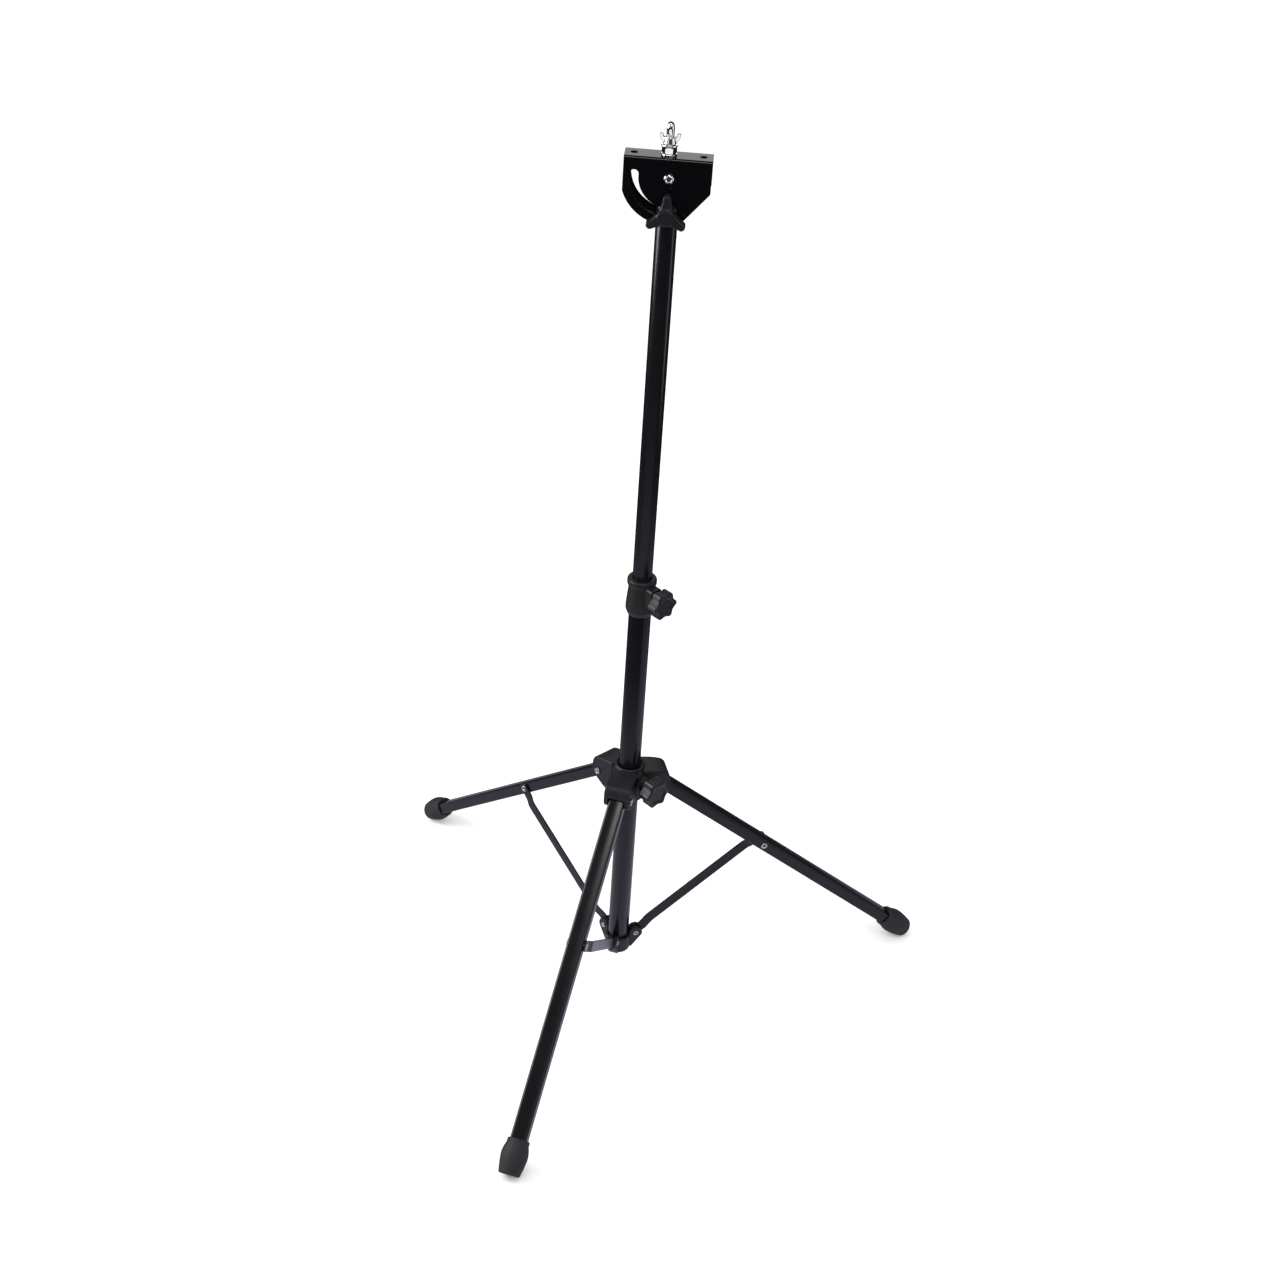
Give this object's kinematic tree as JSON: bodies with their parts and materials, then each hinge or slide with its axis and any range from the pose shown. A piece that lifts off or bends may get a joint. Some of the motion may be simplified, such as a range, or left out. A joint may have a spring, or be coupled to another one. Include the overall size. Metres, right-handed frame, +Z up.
{
  "type": "folding tripod stand",
  "caption": "Floor stand on a folding three-leg base, with a telescoping round mast and a tilting bracket head that carries an upright threaded stud.",
  "frame": {"origin": "on the floor, in the middle of the box round the three feet; the mast axis stands a few centimetres from it", "axes": "+Z up along the mast, X along the head bracket's width, Y along its tilt axis with the front plate and the tilt knob on the -Y side"},
  "size_m": [0.6582, 0.6494, 1.083],
  "materials": {
    "tube_paint": "satin black powder coat",
    "bracket_paint": "gloss black powder coat",
    "moulded_plastic": "lightly textured black moulding",
    "foot_rubber": "matte black rubber",
    "zinc_steel": "bright zinc plate",
    "chrome_steel": "polished plate",
    "brass_insert": "turned"
  },
  "bodies": {
    "mast": {"lower_tube": "tube_paint", "base_collar": "moulded_plastic", "base_rivet_a": "zinc_steel", "base_rivet_b": "zinc_steel", "base_rivet_c": "zinc_steel", "height_collar": "moulded_plastic", "height_nut": "zinc_steel"},
    "height_pad": {"height_pad": "moulded_plastic"},
    "height_knob": {"height_knob": "moulded_plastic", "height_screw": "zinc_steel"},
    "hub": {"hub": "moulded_plastic", "hub_rivet_a": "zinc_steel", "hub_rivet_b": "zinc_steel", "hub_rivet_c": "zinc_steel", "hub_nut": "zinc_steel"},
    "hub_pad": {"hub_pad": "moulded_plastic"},
    "hub_knob": {"hub_knob": "moulded_plastic", "hub_screw": "zinc_steel"},
    "slide_bush": {"slide_bush": "moulded_plastic"},
    "upper_mast": {"upper_tube": "tube_paint", "tube_cap": "moulded_plastic", "clamp_bolt": "zinc_steel", "clamp_washer_rear": "zinc_steel"},
    "tilt_head": {"tilt_bracket": "bracket_paint", "pivot_screw": "chrome_steel", "pivot_washer": "zinc_steel", "pivot_nut": "zinc_steel", "head_stud": "chrome_steel", "stud_washer": "chrome_steel", "stud_nut": "chrome_steel"},
    "clamp_washer": {"clamp_washer_front": "zinc_steel"},
    "tilt_knob": {"tilt_knob": "moulded_plastic", "tilt_knob_insert": "brass_insert"},
    "wing_washer": {"wing_washer": "chrome_steel"},
    "wing_nut": {"wing_nut": "chrome_steel"},
    "leg_a": {"leg_a": "tube_paint", "foot_a": "foot_rubber", "brace_rivet_a": "zinc_steel"},
    "brace_a": {"brace_a": "tube_paint"},
    "leg_b": {"leg_b": "tube_paint", "foot_b": "foot_rubber", "brace_rivet_b": "zinc_steel"},
    "brace_b": {"brace_b": "tube_paint"},
    "leg_c": {"leg_c": "tube_paint", "foot_c": "foot_rubber", "brace_rivet_c": "zinc_steel"},
    "brace_c": {"brace_c": "tube_paint"}
  },
  "joints": [
    {"name": "tripod_fold", "type": "hinge", "parent": "mast", "child": "brace_a", "pos_m": [-0.04835, 0.03245, 0.051], "axis": [-0.9724, 0.2334, 0], "range_deg": [-4, 41]},
    {"name": "leg_a_on_brace", "type": "hinge", "parent": "brace_a", "child": "leg_a", "pos_m": [-0.08421, -0.11692, 0.17502], "axis": [-0.9724, 0.2334, 0], "range_deg": [-87, 9]},
    {"name": "hub_on_leg_a", "type": "hinge", "parent": "leg_a", "child": "hub", "pos_m": [-0.05232, 0.01592, 0.2855], "axis": [-0.9724, 0.2334, 0], "range_deg": [-5, 46]},
    {"name": "leg_b_on_hub", "type": "hinge", "parent": "hub", "child": "leg_b", "pos_m": [-0.00702, 0.06366, 0.2855], "axis": [0.284, -0.9588, 0], "range_deg": [-46, 5]},
    {"name": "brace_b_on_mast", "type": "hinge", "parent": "mast", "child": "brace_b", "pos_m": [-0.02331, 0.05884, 0.051], "axis": [0.284, -0.9588, 0], "range_deg": [-5, 42]},
    {"name": "leg_c_on_hub", "type": "hinge", "parent": "hub", "child": "leg_c", "pos_m": [-0.07101, 0.07903, 0.2855], "axis": [0.6884, 0.7254, 0], "range_deg": [-46, 5]},
    {"name": "brace_c_on_mast", "type": "hinge", "parent": "mast", "child": "brace_c", "pos_m": [-0.05868, 0.06733, 0.051], "axis": [0.6884, 0.7254, 0], "range_deg": [-5, 42]},
    {"name": "height_slide", "type": "slide", "parent": "mast", "child": "slide_bush", "axis": [0, 0, 1], "range_m": [-0.38, 0.08]},
    {"name": "mast_swivel", "type": "hinge", "parent": "slide_bush", "child": "upper_mast", "pos_m": [-0.04345, 0.05287, 0.43], "axis": [0, 0, 1], "continuous": true},
    {"name": "head_tilt", "type": "hinge", "parent": "upper_mast", "child": "tilt_head", "pos_m": [-0.04345, 0.05287, 1.03], "axis": [0, -1, 0], "range_deg": [-10, 94]},
    {"name": "height_pad_travel", "type": "slide", "parent": "mast", "child": "height_pad", "axis": [0.7254, -0.6884, 0], "range_m": [0, 0.002]},
    {"name": "height_knob_turn", "type": "hinge", "parent": "height_pad", "child": "height_knob", "pos_m": [-0.02387, 0.03429, 0.549], "axis": [0.7254, -0.6884, 0], "range_deg": [0, 720.5]},
    {"name": "hub_pad_travel", "type": "slide", "parent": "hub", "child": "hub_pad", "axis": [0.7254, -0.6884, 0], "range_m": [0, 0.002]},
    {"name": "hub_knob_turn", "type": "hinge", "parent": "hub_pad", "child": "hub_knob", "pos_m": [-0.01734, 0.02809, 0.296], "axis": [0.7254, -0.6884, 0], "range_deg": [0, 720.5]},
    {"name": "clamp_washer_travel", "type": "slide", "parent": "upper_mast", "child": "clamp_washer", "axis": [0, -1, 0], "range_m": [0, 0.0025]},
    {"name": "tilt_knob_turn", "type": "hinge", "parent": "clamp_washer", "child": "tilt_knob", "pos_m": [-0.04345, 0.03287, 0.9955], "axis": [0, -1, 0], "range_deg": [0, 720.5]},
    {"name": "wing_washer_travel", "type": "slide", "parent": "tilt_head", "child": "wing_washer", "axis": [0, 0, 1], "range_m": [0, 0.00375]},
    {"name": "wing_nut_turn", "type": "hinge", "parent": "wing_washer", "child": "wing_nut", "pos_m": [-0.04545, 0.05287, 1.062], "axis": [0, 0, 1], "range_deg": [0, 1080.5]}
  ],
  "couplings": [
    {"joint": "leg_a_on_brace", "follows": "tripod_fold", "ratio": -2.1062},
    {"joint": "hub_on_leg_a", "follows": "tripod_fold", "ratio": 1.1062},
    {"joint": "leg_b_on_hub", "follows": "tripod_fold", "ratio": -1.1062},
    {"joint": "leg_c_on_hub", "follows": "tripod_fold", "ratio": -1.1062},
    {"joint": "brace_b_on_mast", "follows": "tripod_fold", "ratio": 1},
    {"joint": "brace_c_on_mast", "follows": "tripod_fold", "ratio": 1},
    {"joint": "height_knob_turn", "follows": "height_pad_travel", "rad_per_m": 6283.2},
    {"joint": "hub_knob_turn", "follows": "hub_pad_travel", "rad_per_m": 6283.2},
    {"joint": "tilt_knob_turn", "follows": "clamp_washer_travel", "rad_per_m": 5026.5},
    {"joint": "wing_nut_turn", "follows": "wing_washer_travel", "rad_per_m": 5026.5}
  ]
}
